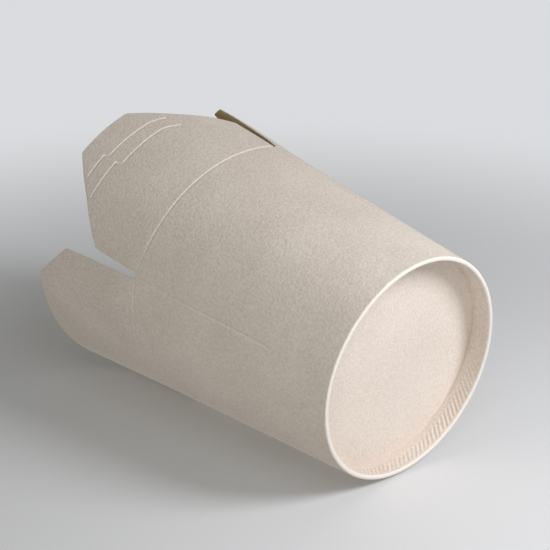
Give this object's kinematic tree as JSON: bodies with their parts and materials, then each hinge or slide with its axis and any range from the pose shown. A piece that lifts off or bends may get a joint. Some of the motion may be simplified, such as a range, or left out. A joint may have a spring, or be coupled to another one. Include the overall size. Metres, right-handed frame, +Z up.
{
  "type": "paper food tub",
  "caption": "Round-based paper food tub: a rolled tapering wall, a recessed base disc held by a knurled folded rim, and wide and narrow flaps that fold in over the mouth.",
  "frame": {"origin": "centre of the ring that the tub stands on", "axes": "+Z up the tub's axis from the base to the mouth; -Y towards the front flap, which has the lock scores; +X towards the right flap"},
  "size_m": [0.1104, 0.1102, 0.1448],
  "materials": {
    "wall_paper": "matt uncoated cream-white board, warmer kraft tone inside",
    "base_paper": "matt cream-white board",
    "wide_flap_paper": "matt uncoated cream-white board, warmer kraft tone inside",
    "narrow_flap_paper": "matt uncoated cream-white board, warmer kraft tone inside"
  },
  "bodies": {
    "tub": {"side_wall": "wall_paper", "base_disc": "base_paper"},
    "front_flap": {"front_flap": "wide_flap_paper"},
    "back_flap": {"back_flap": "wide_flap_paper"},
    "left_flap": {"left_flap": "narrow_flap_paper"},
    "right_flap": {"right_flap": "narrow_flap_paper"}
  },
  "joints": [
    {"name": "front_crease", "type": "hinge", "parent": "tub", "child": "front_flap", "pos_m": [0, -0.03471, 0.09463], "axis": [-1, 0, 0], "range_deg": [0, 60]},
    {"name": "back_crease", "type": "hinge", "parent": "tub", "child": "back_flap", "pos_m": [0, 0.03471, 0.09463], "axis": [1, 0, 0], "range_deg": [0, 58]},
    {"name": "left_crease", "type": "hinge", "parent": "tub", "child": "left_flap", "pos_m": [-0.0374, 0, 0.09462], "axis": [0, 1, 0], "range_deg": [0, 102]},
    {"name": "right_crease", "type": "hinge", "parent": "tub", "child": "right_flap", "pos_m": [0.0374, 0, 0.09462], "axis": [0, -1, 0], "range_deg": [0, 94]}
  ]
}
